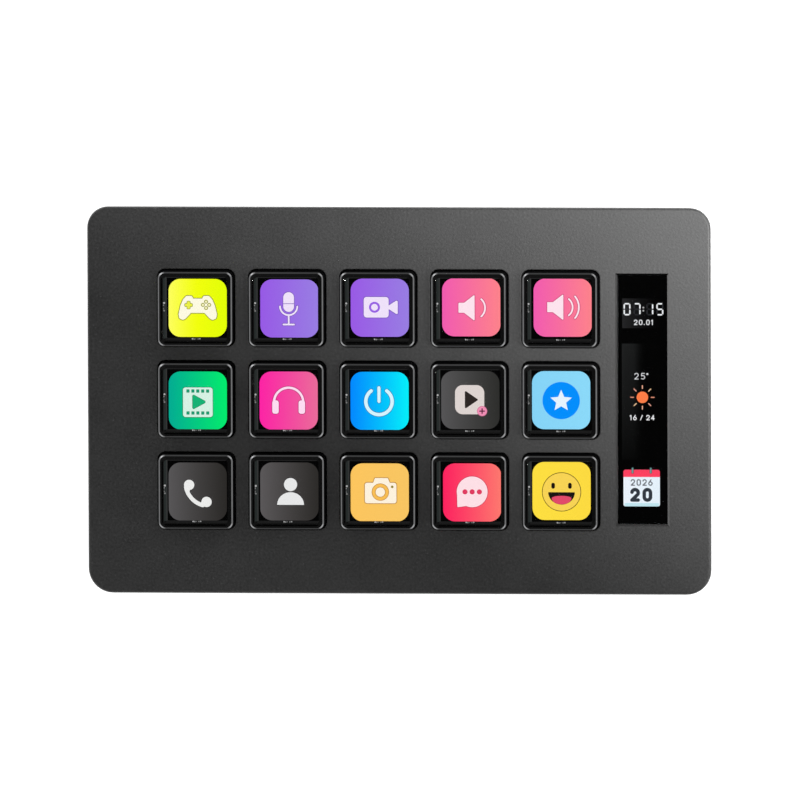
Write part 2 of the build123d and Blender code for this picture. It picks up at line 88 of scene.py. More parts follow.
def hull(corners, radius):
    """Discs of one radius at the corners of a convex polygon (anticlockwise), and all that lies between them.

    The outline is an arc round each corner, from the outward normal of the edge before it to that of
    the edge after it, and the straight edges follow where one arc ends and the next starts.
    """

    def outline(grow):
        at = np.array(corners, float)
        turn = np.linspace(0, 1, CORNER_POINTS)
        if len(at) == 1:
            angle = 2 * np.pi * np.linspace(0, 1, ROUND_POINTS, endpoint=False)[None]
        else:
            edge = np.roll(at, -1, axis=0) - at
            after = np.arctan2(-edge[:, 0], edge[:, 1])
            before = np.roll(after, 1)
            angle = before[:, None] + ((after - before) % (2 * np.pi))[:, None] * turn
        ring = np.stack([np.cos(angle), np.sin(angle)], axis=-1) * (radius + grow)
        points = (at[:, None] + ring).reshape(-1, 2)
        return [(points.mean(axis=0), points)]

    return outline


def disc(x, y, radius):
    """A round spot."""
    return hull([(x, y)], radius)


def bar(x0, y0, x1, y1, width):
    """A round-ended stroke."""
    return hull([(x0, y0), (x1, y1)], width / 2)


def box(x, y, w, h, radius):
    """A rounded rectangle about x, y."""
    a, b = w / 2 - radius, h / 2 - radius
    return hull([(x - a, y - b), (x + a, y - b), (x + a, y + b), (x - a, y + b)], radius)


def arc(x, y, radius, width, start, stop):
    """A round-ended stroke along a circle, from one angle to another in degrees, anticlockwise."""

    def outline(grow):
        angle = np.radians(np.linspace(start, stop, ARC_POINTS))
        ring = np.stack([np.cos(angle), np.sin(angle)], axis=-1)
        centre = np.array([x, y])
        half = width / 2 + grow
        ends = [disc(*(centre + radius * ring[i]), width / 2)(grow)[0] for i in (0, -1)]
        return [(centre + (radius - half) * ring, centre + (radius + half) * ring), *ends]

    return outline


def star(x, y, radius, points, notch):
    """A star: its corners' distance swaps between radius and notch times radius."""

    def outline(grow):
        angle = np.pi / 2 + np.pi * np.arange(2 * points) / points
        reach = (radius + STAR_GROWTH * grow) * np.where(np.arange(2 * points) % 2, notch, 1)
        ring = np.stack([np.cos(angle), np.sin(angle)], axis=-1) * reach[:, None]
        return [(np.array([x, y], float), np.array([x, y]) + ring)]

    return outline


def dome(x, y, half_w, height):
    """Half an ellipse on a level base. A negative height hangs it under the base."""

    def outline(grow):
        angle = np.radians(np.linspace(0, 180, ROUND_POINTS))
        tall = height + math.copysign(grow, height)
        arch = np.stack([x + (half_w + grow) * np.cos(angle), y + tall * np.sin(angle)], axis=-1)
        base = y - math.copysign(grow, height)
        points = np.vstack([arch, [(x - half_w - grow, base), (x + half_w + grow, base)]])
        return [(np.array([x, y + height / 3]), points)]

    return outline


# ---------------------------------------------------------------- lit pictures


def add_object(name, data):
    """A new object in the scene."""
    made = bpy.data.objects.new(name, data)
    bpy.context.scene.collection.objects.link(made)
    return made


class Picture:
    """A picture gathered as layers of flat shapes, with a tint at every point."""

    def __init__(self, x, y, z=None):
        """Starts a picture about a place in metres, just over the display if no height is given."""
        self.x, self.y, self.z = x, y, display_z + LAYER * MM if z is None else z
        self.points, self.tints, self.faces = [], [], []
        self.used = 0

    def add(self, points, layer, tint, faces):
        """Takes the points (in mm about the picture's centre) of one surface and its faces."""
        points = np.asarray(points, float).reshape(-1, 2)
        height = np.full(len(points), layer * LAYER)
        self.points.append(np.column_stack([points, height]))
        self.tints.append(np.broadcast_to(tint, (len(points), 3)))
        self.faces += (faces + self.used).tolist()
        self.used += len(points)

    def shapes(self, shapes, layer, tint, grow=0.0):
        """Shapes of one tint. Each is a fan from its middle, or a band between two lines of points."""
        for shape in shapes:
            for inner, outer in shape(grow):
                n = len(outer)
                here = np.arange(n)
                if inner.ndim == 1:
                    after = (here + 1) % n
                    fan = np.column_stack([np.full(n, n), here, after])
                    self.add(np.vstack([outer, inner]), layer, tint, fan)
                else:
                    band = np.column_stack([here, here + n, here + n + 1, here + 1])[:-1]
                    self.add(np.vstack([inner, outer]), layer, tint, band)

    def glyph(self, shapes, layer, tint, edge, width=0.17):
        """Shapes of one tint inside one common thin edge."""
        self.shapes(shapes, layer, edge, width)
        self.shapes(shapes, layer + 1, tint)

    def tile(self, w, h, radius, left, right, middle=None, at=(0, 0), foot=1.0):
        """Rounded rectangle about at: columns at x, and in each y runs over plus and minus the half height.

        The half height is full, less what a corner's circle takes away. The tint runs from left to right, by
        way of middle, in even steps to the eye: the roots of light are what is mixed. It is full at the head
        and the share foot of that at the foot.
        """
        bend = np.sin(np.linspace(0, np.pi / 2, 12)) * radius
        flat = w / 2 - radius
        x = np.concatenate([-flat - bend[::-1], np.linspace(-flat, flat, 14)[1:-1], flat + bend])
        past = np.clip(np.abs(x) - flat, 0, radius)
        half = h / 2 - radius + np.sqrt(radius**2 - past**2)
        v = np.array([-1.0, 1.0])
        grid = np.stack(np.broadcast_arrays(x[:, None], v * half[:, None]), axis=-1)
        stops = np.array([left, right] if middle is None else [left, middle, right]) ** (1 / EYE)
        steps = np.linspace(-w / 2, w / 2, len(stops))
        tint = np.stack([np.interp(x, steps, stop) for stop in stops.T], axis=-1) ** EYE
        tint = (tint[:, None] * np.array([foot, 1.0])[:, None]).reshape(-1, 3)
        i = np.arange(len(x) - 1) * 2
        self.add(grid + np.array(at), 1, tint, np.column_stack([i, i + 2, i + 3, i + 1]))

    def figures(self, text, x, y, height, stroke, layer, tint, pitch=0.9):
        """Plain figures in a row about x, y, each of round-ended strokes of one width.

        The strokes' centre lines fill a box one stroke less than height tall, and 0.6 of that wide. The
        rooms that the figures take, pitch times height for most, are laid end to end.
        """
        room = np.array([ROOM.get(sign, pitch) for sign in text]) * height
        middle = x - room.sum() / 2 + np.cumsum(room) - room / 2
        size = height - stroke
        for sign, at in zip(text, middle):
            for numbers in STROKES[sign]:
                u, v = at + size * numbers[0], y + size * numbers[1]
                if len(numbers) == 4:
                    shape = bar(u, v, at + size * numbers[2], y + size * numbers[3], stroke)
                else:
                    shape = arc(u, v, size * numbers[2], stroke, *numbers[3:])
                self.shapes([shape], layer, tint)

    def finish(self, name, body="housing", slot="lcd"):
        """Makes the piece: points in metres from the picture's place, every face turned up."""
        points = np.vstack(self.points) * MM + (self.x, self.y, self.z)
        mesh = bpy.data.meshes.new(name)
        mesh.from_pydata(points, [], self.faces)
        normals = np.zeros(len(mesh.polygons) * 3)
        mesh.polygons.foreach_get("normal", normals)
        for i in np.flatnonzero(normals[2::3] < 0).tolist():
            mesh.polygons[i].flip()
        tint = mesh.attributes.new("tint", "FLOAT_COLOR", "POINT")
        colours = np.column_stack([np.vstack(self.tints), np.ones(len(points))])
        tint.data.foreach_set("color", colours.ravel())
        mesh.update()
        mesh.materials.append(finishes["lit_picture"])
        piece = add_object(name, mesh)
        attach(piece, body)


# Strokes of the figures in a box one high about its middle: x0, y0, x1, y1 of a bar, or x, y, radius and
# the two angles of an arc.
STROKES = {
    "0": [(0, 0.2, 0.3, 0, 180), (0, -0.2, 0.3, 180, 360), (-0.3, -0.2, -0.3, 0.2), (0.3, -0.2, 0.3, 0.2)],
    "1": [(0.06, -0.5, 0.06, 0.5), (0.06, 0.5, -0.16, 0.34)],
    "2": [(0, 0.2, 0.3, -35, 170), (0.25, 0.03, -0.3, -0.5), (-0.3, -0.5, 0.3, -0.5)],
    "4": [(0.12, -0.5, 0.12, 0.5), (0.12, 0.5, -0.32, -0.22), (-0.32, -0.22, 0.32, -0.22)],
    "5": [(0.26, 0.5, -0.22, 0.5), (-0.22, 0.5, -0.26, 0.06), (-0.02, -0.19, 0.31, -140, 130)],
    "6": [(0, -0.2, 0.3, 0, 360), (-0.27, -0.06, 0.1, 0.5)],
    "/": [(-0.2, -0.5, 0.2, 0.5)],
    ".": [(-0.02, -0.48, 0.02, -0.48)],
    "°": [(-0.1, 0.38, 0.11, 0, 360)],
    " ": [],
}
ROOM = {"1": 0.62, "/": 0.75, ".": 0.42, "°": 0.5, " ": 0.4}


# ---------------------------------------------------------------- node groups and materials


def node(tree, kind, inputs=None, **settings):
    """Adds a node. inputs maps a socket's name or number to a value or to an output socket."""
    made = tree.nodes.new(kind)
    for name, value in settings.items():
        setattr(made, name, value)
    for name, value in (inputs or {}).items():
        if isinstance(value, bpy.types.NodeSocket):
            tree.links.new(value, made.inputs[name])
        else:
            made.inputs[name].default_value = value
    return made


def group(name, inputs, outputs):
    """A node group with its inputs {name: (kind, value)} and outputs {name: kind}."""
    tree = bpy.data.node_groups.new(name, "ShaderNodeTree")
    for label, (kind, value) in inputs.items():
        socket = tree.interface.new_socket(name=label, in_out="INPUT", socket_type=f"NodeSocket{kind}")
        if value is not None:
            socket.default_value = value
    for label, kind in outputs.items():
        tree.interface.new_socket(name=label, in_out="OUTPUT", socket_type=f"NodeSocket{kind}")
    return tree, tree.nodes.new("NodeGroupInput").outputs, tree.nodes.new("NodeGroupOutput").inputs


def math_node(tree, operation, a, b=0.0):
    """One sum, product or other operation of two values."""
    return node(tree, "ShaderNodeMath", {0: a, 1: b}, operation=operation).outputs[0]


def spread(tree, value, low, high, out_low, out_high):
    """Carries a value from one range into another, clamped."""
    sizes = {"Value": value, "From Min": low, "From Max": high, "To Min": out_low, "To Max": out_high}
    return node(tree, "ShaderNodeMapRange", sizes).outputs["Result"]


def noise(tree, place, scale, **inputs):
    """Noise of one scale, as a value."""
    return node(tree, "ShaderNodeTexNoise", {"Vector": place, "Scale": scale, **inputs}).outputs["Fac"]


def shade_of(tree, given, mask):
    """The share of its colour that a point shows: 1 at the mask's middle, more or less by the contrast."""
    centred = math_node(tree, "SUBTRACT", mask, 0.5)
    return math_node(tree, "ADD", math_node(tree, "MULTIPLY", centred, given["Contrast"]), 1.0)


def give_out(tree, given, out, shade, height, mask):
    """Links the outputs of a surface's group: its colour in the shade, its height and its mask."""
    tinted = node(tree, "ShaderNodeVectorMath", {0: given["Color"], "Scale": shade}, operation="SCALE")
    tree.links.new(tinted.outputs["Vector"], out["Color"])
    tree.links.new(height, out["Height"])
    tree.links.new(mask, out["Mask"])


FINE_SHARE, BROAD_SHARE = 0.75, 0.25  # of the fine and of the broad noise in a grain
BROAD_SCALE = 0.06  # of the fine noise's scale
GRAIN_SPAN = (0.36, 0.64)  # most of the grain's noise lies between these
SPECK_SPAN = (0.68, 0.74)  # a pale speck comes in between these values of the fine noise


def grain_group():
    """Moulded or blasted surface: two sizes of noise shade the colour, and the finer one's tops are pale."""
    tree, given, out = group(
        "moulded_grain",
        {"Vector": ("Vector", None), "Color": ("Color", (0.5, 0.5, 0.5, 1)), "Scale": ("Float", 2500.0),
         "Contrast": ("Float", 0.1), "Specks": ("Float", 0.0)},
        {"Color": "Color", "Height": "Float", "Mask": "Float"},
    )
    fine = noise(tree, given["Vector"], given["Scale"], Detail=2.0, Roughness=0.65)
    broad = noise(tree, given["Vector"], math_node(tree, "MULTIPLY", given["Scale"], BROAD_SCALE), Detail=3.0)
    mix = math_node(tree, "ADD", math_node(tree, "MULTIPLY", fine, FINE_SHARE),
                    math_node(tree, "MULTIPLY", broad, BROAD_SHARE))
    mask = spread(tree, mix, *GRAIN_SPAN, 0.0, 1.0)
    speck = math_node(tree, "MULTIPLY", spread(tree, fine, *SPECK_SPAN, 0.0, 1.0), given["Specks"])
    give_out(tree, given, out, math_node(tree, "ADD", shade_of(tree, given, mask), speck), mix, mask)
    return tree


LINE_STRETCH = (0.06, 1.0, 1.0)  # scale of the noise along each axis
LINE_SPAN = (0.35, 0.65)


def brushed_group():
    """Drawn or rolled metal: noise stretched along X shades the colour."""
    tree, given, out = group(
        "rolled_metal",
        {"Vector": ("Vector", None), "Color": ("Color", (0.6, 0.6, 0.6, 1)), "Scale": ("Float", 900.0),
         "Contrast": ("Float", 0.15)},
        {"Color": "Color", "Height": "Float", "Mask": "Float"},
    )
    along = node(tree, "ShaderNodeMapping", {"Vector": given["Vector"], "Scale": LINE_STRETCH})
    lines = noise(tree, along.outputs[0], given["Scale"], Detail=4.0)
    mask = spread(tree, lines, *LINE_SPAN, 0.0, 1.0)
    give_out(tree, given, out, shade_of(tree, given, mask), lines, mask)
    return tree


SMUDGE_SPAN = (0.42, 0.7)
DUST_SCALE, DUST_SPAN = 22.0, (0.7, 0.78)


def smudge_group():
    """Handled gloss: broad soft smudges and a little fine dust, as one mask."""
    tree, given, out = group(
        "handled_gloss",
        {"Vector": ("Vector", None), "Scale": ("Float", 120.0), "Dust": ("Float", 0.2)},
        {"Mask": "Float"},
    )
    broad = noise(tree, given["Vector"], given["Scale"], Detail=4.0, Distortion=0.6)
    dust = noise(tree, given["Vector"], math_node(tree, "MULTIPLY", given["Scale"], DUST_SCALE))
    soft = spread(tree, broad, *SMUDGE_SPAN, 0.0, 1.0)
    dots = math_node(tree, "MULTIPLY", spread(tree, dust, *DUST_SPAN, 0.0, 1.0), given["Dust"])
    tree.links.new(math_node(tree, "ADD", soft, dots), out["Mask"])
    return tree


def start(name):
    """A new material: its tree, its shader and the object's own coordinates."""
    made = bpy.data.materials.new(name)
    made.use_nodes = True
    tree = made.node_tree
    shader = tree.nodes["Principled BSDF"]
    place = tree.nodes.new("ShaderNodeTexCoord").outputs["Object"]
    return made, tree, shader, place


def use(tree, which, **inputs):
    """Places a node group with its inputs, by name."""
    return node(tree, "ShaderNodeGroup", inputs, node_tree=which).outputs


def rough(tree, shader, mask, span):
    """Roughness that follows a mask, from the first value of a span to the second."""
    tree.links.new(spread(tree, mask, 0.0, 1.0, *span), shader.inputs["Roughness"])


def bump(tree, shader, height, depth):
    """Relief of a height, its depth in mm."""
    made = node(tree, "ShaderNodeBump", {"Height": height, "Distance": depth * MM, "Strength": 1.0})
    tree.links.new(made.outputs["Normal"], shader.inputs["Normal"])


def moulded(name, colour, scale, contrast, roughness, depth, specks=0.0, specular=0.5):
    """Plastic or rubber with a moulded or blasted grain."""
    made, tree, shader, place = start(name)
    grain = use(tree, groups["grain"], Vector=place, Color=(*colour, 1), Scale=scale, Contrast=contrast,
                Specks=specks)
    tree.links.new(grain["Color"], shader.inputs["Base Color"])
    rough(tree, shader, grain["Mask"], roughness)
    bump(tree, shader, grain["Height"], depth)
    shader.inputs["Specular IOR Level"].default_value = specular
    return made


def metal(name, colour, scale, contrast, roughness, depth):
    """Rolled, drawn or plated metal."""
    made, tree, shader, place = start(name)
    lines = use(tree, groups["brushed"], Vector=place, Color=(*colour, 1), Scale=scale, Contrast=contrast)
    tree.links.new(lines["Color"], shader.inputs["Base Color"])
    rough(tree, shader, lines["Mask"], roughness)
    bump(tree, shader, lines["Height"], depth)
    shader.inputs["Metallic"].default_value = 1.0
    return made


def clear(name, colour, haze):
    """Clear polished plastic that has been handled."""
    made, tree, shader, place = start(name)
    smudge = use(tree, groups["smudge"], Vector=place, Scale=120.0, Dust=0.3)
    rough(tree, shader, smudge["Mask"], (0.0, haze))
    shader.inputs["Base Color"].default_value = (*colour, 1)
    shader.inputs["Transmission Weight"].default_value = 1.0
    shader.inputs["IOR"].default_value = 1.49
    return made


PASSED = 0.75  # share of light that a cap lets through to the panel


def pass_light(made):
    """Lets a share of the lamps' and the room's light through a cap's sides, chamfer and block."""
    tree = made.node_tree
    shader = tree.nodes["Principled BSDF"].outputs[0]
    path = tree.nodes.new("ShaderNodeLightPath").outputs
    nothing = tree.nodes.new("ShaderNodeBsdfTransparent").outputs[0]
    partly = node(tree, "ShaderNodeMixShader", {0: PASSED, 1: shader, 2: nothing}).outputs[0]
    room = node(tree, "ShaderNodeMixShader", {0: path["Is Diffuse Ray"], 1: shader, 2: partly}).outputs[0]
    lamps = node(tree, "ShaderNodeMixShader", {0: path["Is Shadow Ray"], 1: room, 2: partly}).outputs[0]
    tree.links.new(lamps, tree.nodes["Material Output"].inputs["Surface"])
    return made


def film(name, colour, roughness, specular=0.5):
    """Smooth film, lacquer or glass that nothing shows through."""
    made, tree, shader, place = start(name)
    smudge = use(tree, groups["smudge"], Vector=place, Scale=90.0, Dust=0.4)
    grain = use(tree, groups["grain"], Vector=place, Color=(*colour, 1), Scale=1200.0, Contrast=0.08)
    tree.links.new(grain["Color"], shader.inputs["Base Color"])
    rough(tree, shader, smudge["Mask"], roughness)
    shader.inputs["Specular IOR Level"].default_value = specular
    return made


TRACK_PITCH = 0.8  # of the board's copper tracks, in mm
TRACK_CELLS = 170.0  # cells in a metre, each with one direction of track
TRACK_SPAN = (0.55, 0.75)  # a track rises between these values of a wave
MASK_GREEN, TRACK_GREEN = (0.012, 0.075, 0.04, 1), (0.03, 0.14, 0.07, 1)


def board_finish():
    """Green solder mask over copper tracks: even lines, along X in some cells and along Y in others."""
    made, tree, shader, place = start("solder_mask")
    split = node(tree, "ShaderNodeSeparateXYZ", {0: place}).outputs
    pick = node(tree, "ShaderNodeTexVoronoi", {"Vector": place, "Scale": TRACK_CELLS}, distance="MANHATTAN")
    side = node(tree, "ShaderNodeSeparateXYZ", {0: pick.outputs["Color"]}).outputs["X"]
    along_x = math_node(tree, "GREATER_THAN", side, 0.5)
    across = node(tree, "ShaderNodeMix", {"Factor": along_x, 2: split["X"], 3: split["Y"]}).outputs[0]
    wave = math_node(tree, "SINE", math_node(tree, "MULTIPLY", across, 2 * math.pi / (TRACK_PITCH * MM)))
    track = spread(tree, wave, *TRACK_SPAN, 0.0, 1.0)
    grain = use(tree, groups["grain"], Vector=place, Color=MASK_GREEN, Scale=1500.0, Contrast=0.2)
    tone = node(tree, "ShaderNodeMix", {"Factor": track, 6: grain["Color"], 7: TRACK_GREEN},
                data_type="RGBA").outputs[2]
    tree.links.new(tone, shader.inputs["Base Color"])
    rough(tree, shader, grain["Mask"], (0.3, 0.42))
    bump(tree, shader, track, 0.02)
    return made


DISPLAY_ROUGH, DISPLAY_SPECULAR = (0.06, 0.1), 0.1
PICTURE_GLOW = 1.08  # makes up for what the clear block takes from a picture


# lit_picture also gives the caps' blocks their painted glow and painted glints
def picture_finish():
    """Light of the display: each point has its own tint, seen as it is written."""
    made, tree, shader, place = start("lit_picture")
    tint = node(tree, "ShaderNodeAttribute", attribute_name="tint")
    tree.links.new(tint.outputs["Color"], shader.inputs["Emission Color"])
    shader.inputs["Emission Strength"].default_value = PICTURE_GLOW
    smudge = use(tree, groups["smudge"], Vector=place, Scale=90.0, Dust=0.0)
    rough(tree, shader, smudge["Mask"], DISPLAY_ROUGH)
    shader.inputs["Base Color"].default_value = (0.0005, 0.0005, 0.0005, 1)
    shader.inputs["Specular IOR Level"].default_value = DISPLAY_SPECULAR
    return made


groups = {"grain": grain_group(), "brushed": brushed_group(), "smudge": smudge_group()}
# Colours are linear light, scales are per metre and depths of relief are in mm.
finishes = {
    "housing": moulded("gunmetal_blasted", (0.031, 0.031, 0.031), scale=2000.0, contrast=0.5,
                       roughness=(0.51, 0.56), depth=0.05, specks=0.9, specular=0.84),
    "base": moulded("base_plastic", (0.016, 0.016, 0.017), scale=1400.0, contrast=0.25,
                    roughness=(0.5, 0.62), depth=0.04),
    "feet": moulded("foot_rubber", (0.012, 0.012, 0.012), scale=1800.0, contrast=0.3,
                    roughness=(0.75, 0.9), depth=0.03),
    "silicone": moulded("key_silicone", (0.006, 0.006, 0.0065), scale=1500.0, contrast=0.2,
                        roughness=(0.5, 0.6), depth=0.01),
    "guide": moulded("guide_plastic", (0.004, 0.004, 0.0045), scale=1600.0, contrast=0.25,
                     roughness=(0.45, 0.55), depth=0.02),
    "chips": moulded("chip_epoxy", (0.012, 0.012, 0.012), scale=2600.0, contrast=0.3,
                     roughness=(0.4, 0.55), depth=0.01, specks=0.4),
    "passives": moulded("part_ceramic", (0.2, 0.14, 0.09), scale=1800.0, contrast=0.4,
                        roughness=(0.35, 0.5), depth=0.01),
    "insulator": moulded("socket_insulator", (0.012, 0.012, 0.012), scale=1800.0, contrast=0.2,
                         roughness=(0.4, 0.5), depth=0.01),
    "backlight": moulded("backlight_frame", (0.7, 0.7, 0.7), scale=900.0, contrast=0.05,
                         roughness=(0.35, 0.45), depth=0.01),
    "tray_steel": metal("zinc_sheet", (0.5, 0.51, 0.53), scale=700.0, contrast=0.2,
                        roughness=(0.3, 0.45), depth=0.01),
    "socket_steel": metal("nickel_shell", (0.62, 0.6, 0.56), scale=1500.0, contrast=0.1,
                          roughness=(0.18, 0.3), depth=0.004),
    "screw_steel": metal("black_nickel", (0.12, 0.12, 0.125), scale=2500.0, contrast=0.2,
                         roughness=(0.3, 0.42), depth=0.004),
    # the cap's near-black skirt: dark moulding under the panel, and painted shade on the cap's upright sides
    # over it
    "skirt": pass_light(moulded("cap_skirt_painted_shade", (0.004, 0.004, 0.0045), scale=1600.0, contrast=0.2,
                                roughness=(0.6, 0.7), depth=0.01, specular=0.04)),
    "clear_cap": pass_light(clear("cap_clear", (0.985, 0.99, 0.995), haze=0.03)),
    # painted light on the chamfer round the strip's cut-out: one grey at three levels, the bright one a
    # painted highlight and the dark rear one a painted shade
    "painted_mid_edge": moulded("window_cut", (0.035, 0.035, 0.035), scale=2600.0, contrast=0.2,
                        roughness=(0.4, 0.5), depth=0.01),
    "painted_highlight_edge": moulded("window_cut_painted_highlight", (0.13, 0.13, 0.13), scale=2600.0, contrast=0.2,
                           roughness=(0.4, 0.5), depth=0.01),
    "painted_shade_edge": moulded("window_cut_painted_shade", (0.001, 0.001, 0.001), scale=2600.0, contrast=0.2,
                          roughness=(0.6, 0.7), depth=0.01, specular=0.1),
    "rim": pass_light(metal("cap_chamfer", (0.37, 0.373, 0.38), scale=1500.0, contrast=0.1,
                            roughness=(0.04, 0.12), depth=0.001)),
    "clear_lens": clear("lens_clear", (0.96, 0.97, 0.98), haze=0.03),
    "film": film("printed_film", (0.008, 0.008, 0.009), roughness=(0.35, 0.5)),
    "lcd": film("display_face", (0.0004, 0.0004, 0.0005), DISPLAY_ROUGH, DISPLAY_SPECULAR),
    "ribbon": film("ribbon_film", (0.3, 0.12, 0.02), roughness=(0.25, 0.4)),
    "board": board_finish(),
    "lit_picture": picture_finish(),
}


def faces_of(mesh):
    """Corner places and normals of a mesh of triangles, as arrays."""
    corner = np.zeros(len(mesh.loops), int)
    mesh.loops.foreach_get("vertex_index", corner)
    co = np.zeros(len(mesh.vertices) * 3)
    mesh.vertices.foreach_get("co", co)
    normal = np.zeros(len(mesh.polygons) * 3)
    mesh.polygons.foreach_get("normal", normal)
    return co.reshape(-1, 3)[corner].reshape(-1, 3, 3), normal.reshape(-1, 3)


CHAMFER_H = 0.22 * MM  # height of the chamfer round a cap's top
SKIRT_DEEP = 0.3 * MM  # what looks down further than this over a cap's foot is its block's underside
WINDOW_CHAMFER = 0.45 * MM  # depth and width of the chamfer round the strip's cut-out
LENS_LAP = 3 * MM  # furthest that this chamfer's faces reach in over the lens


def paint_cap(mesh):
    """Gives a cap's faces their finish: 0 the clear block, 1 the skirt in near-black paint and painted shade,
    2 the chamfer round the top.

    The skirt is every upright face, and every other face that ends below the panel, but for the block's own
    underside, the one face well over the foot that looks down. Its near black is the cap's dark moulding
    below the panel, and painted shade on the upright sides over the panel, where clear sides would show the
    dark inside. The chamfer is every face within a chamfer's height of the top that slopes away from the
    cap's middle. Gives back the height of the block's underside.
    """
    place, normal = faces_of(mesh)
    low, high = place[:, :, 2].min(axis=1), place[:, :, 2].max(axis=1)
    middle = (place.min(axis=(0, 1)) + place.max(axis=(0, 1))) / 2
    upright = np.abs(normal[:, 2]) < 0.5
    underside = (normal[:, 2] < -0.9) & (low > low.min() + SKIRT_DEEP)
    skirt = upright | ((high < panel_z) & ~underside)
    away = ((place.mean(axis=1) - middle) * normal)[:, :2].sum(axis=1) > 0
    chamfer = (low > high.max() - CHAMFER_H) & (np.abs(normal[:, 2]) < 0.95) & away
    mesh.polygons.foreach_set("material_index", np.select([chamfer, skirt], [2, 1], 0))
    return float(low[underside].min())


def paint_window_edge(mesh):
    """Gives the chamfer round the strip's cut-out lit and shaded copies of one grey, for the light on each
    side:
    1 left and front a mid grey, 2 right a painted highlight, 3 rear a painted shade.

    Its faces slope, start within a chamfer's depth of the panel's face, and have their middles between
    LENS_LAP inside the lens's outline and two chamfers outside it.
    """
    place, normal = faces_of(mesh)
    low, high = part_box("strip_lens")
    middle = place.mean(axis=1)
    over = np.maximum(np.array(low)[:2] - middle[:, :2], middle[:, :2] - np.array(high)[:2]).max(axis=1)
    slope = (normal[:, 2] > 0.2) & (normal[:, 2] < 0.95)
    high_up = place[:, :, 2].min(axis=1) > panel_z - WINDOW_CHAMFER
    edge = slope & high_up & (over < 2 * WINDOW_CHAMFER) & (over > -LENS_LAP)
    # faces on the side toward the light get the painted highlight; the rear ones get the painted shade
    side = np.select([normal[:, 0] < -0.5, normal[:, 1] < -0.5], [2, 3], 1)
    mesh.polygons.foreach_set("material_index", np.where(edge, side, 0))


for part in frame["record"]["subparts"]:
    mesh = frame["nodes"][part["node"]].data
    mesh.materials.clear()
    mesh.materials.append(finishes[part["material_slot"]])
    if part["material_slot"] == "clear_cap":
        mesh.materials.append(finishes["skirt"])
        mesh.materials.append(finishes["rim"])
        block_z = paint_cap(mesh)
    if part["material_slot"] == "housing":
        for name in ("painted_mid_edge", "painted_highlight_edge", "painted_shade_edge"):
            mesh.materials.append(finishes[name])
        paint_window_edge(mesh)

# ---------------------------------------------------------------- pictures under the keys
TILE = 12.15  # side of a key's picture
TILE_R = 2.5  # its corner radius
TILE_SHIFT = (0.04, -0.42)  # from the key's middle to the picture's


def ground(p, left, right, middle=None):
    """The coloured ground of a key's picture, from one screen colour at the left to another at the right."""
    p.tile(TILE, TILE, TILE_R, linear(*left), linear(*right), None if middle is None else linear(*middle))


def gamepad(p):
    """Two bent grips and a box between them, with a cross and four round buttons."""
    ground(p, (255, 255, 94), (227, 255, 4), middle=(242, 255, 10))
    cream, olive = linear(255, 251, 226), linear(148, 150, 40)
    left = [(-1.5, 2.02), (-2.15, 2.02), (-2.62, 1.5), (-3.1, 0.4), (-3.5, -1.3), (-3.42, -1.85),
            (-3.1, -1.98), (-2.8, -1.8), (-1.4, -0.3)]
    right = [(-x, y) for x, y in reversed(left)]
    p.glyph([hull(left, 0.5), hull(right, 0.5), box(0, 0.46, 4.4, 3.0, 0.3)], 2, cream, olive)
    cross = [box(-1.9, 0.6, 1.5, 0.55, 0.12), box(-1.9, 0.6, 0.55, 1.5, 0.12)]
    p.glyph(cross, 4, linear(236, 240, 70), olive, 0.13)
    apart = 0.66  # of the buttons from their middle
    turns = np.arange(4) * math.pi / 2
    spots = [disc(1.75 + apart * math.cos(a), 0.65 + apart * math.sin(a), 0.24) for a in turns]
    p.glyph(spots, 4, linear(250, 246, 190), olive)


def microphone(p):
    """A round-ended capsule in a half-ring cradle on a stem and foot."""
    ground(p, (152, 90, 230), (153, 126, 227))
    edge, tint = linear(112, 78, 178), linear(240, 226, 250)
    stand = [arc(-0.15, 0.42, 1.8, 0.36, 180, 360), bar(-0.15, -1.5, -0.15, -3.3, 0.36),
             bar(-1.25, -3.35, 0.95, -3.35, 0.36)]
    p.glyph([*stand, bar(-0.15, 2.3, -0.15, 0.4, 2.25)], 2, tint, edge, 0.12)
    p.shapes([box(-0.15, 1.0, 2.3, 0.13, 0.05)], 4, edge)


def camcorder(p):
    """A rounded box with a lens ring and a flared hood."""
    ground(p, (154, 90, 230), (153, 126, 227))
    edge, tint = linear(112, 78, 178), linear(240, 226, 250)
    hood = hull([(1.75, 0.1), (3.5, -1.05), (3.5, 1.25)], 0.25)
    p.glyph([box(-0.75, 0.1, 5.2, 4.3, 0.6), hood], 2, tint, edge, 0.13)
    p.shapes([disc(-1.1, 0.1, 1.15)], 4, linear(152, 96, 228))
    p.shapes([disc(-1.1, 0.1, 0.7)], 5, tint)


def speaker(p, x, y, waves):
    """A box and cone from x on, at height y, and a bent stroke for each wave: its reach and half its height.

    The stroke's radius is that of a circle which rises by bend over the half height.
    """
    ground(p, (243, 91, 176), (255, 131, 139))
    edge, tint = linear(200, 62, 112), linear(255, 228, 238)
    cone = [(x + 1.3, y - 1.0), (x + 3.25, y - 2.5), (x + 3.25, y + 2.5), (x + 1.3, y + 1.0)]
    horn = [box(x + 0.8, y, 1.6, 2.1, 0.12), hull(cone, 0.12)]
    bend = 0.8
    arcs = []
    for reach, tall in waves:
        radius = (tall**2 + bend**2) / (2 * bend)
        turn = math.degrees(math.asin(tall / radius))
        arcs.append(arc(reach - radius, y, radius, 0.36, -turn, turn))
    p.glyph([*horn, *arcs], 2, tint, edge, 0.13)


def speaker_low(p):
    """A speaker with one wave."""
    speaker(p, -2.68, -0.1, [(2.87, 1.8)])


def speaker_high(p):
    """A speaker with two waves."""
    speaker(p, -3.24, 0.1, [(2.06, 1.7), (3.36, 2.25)])


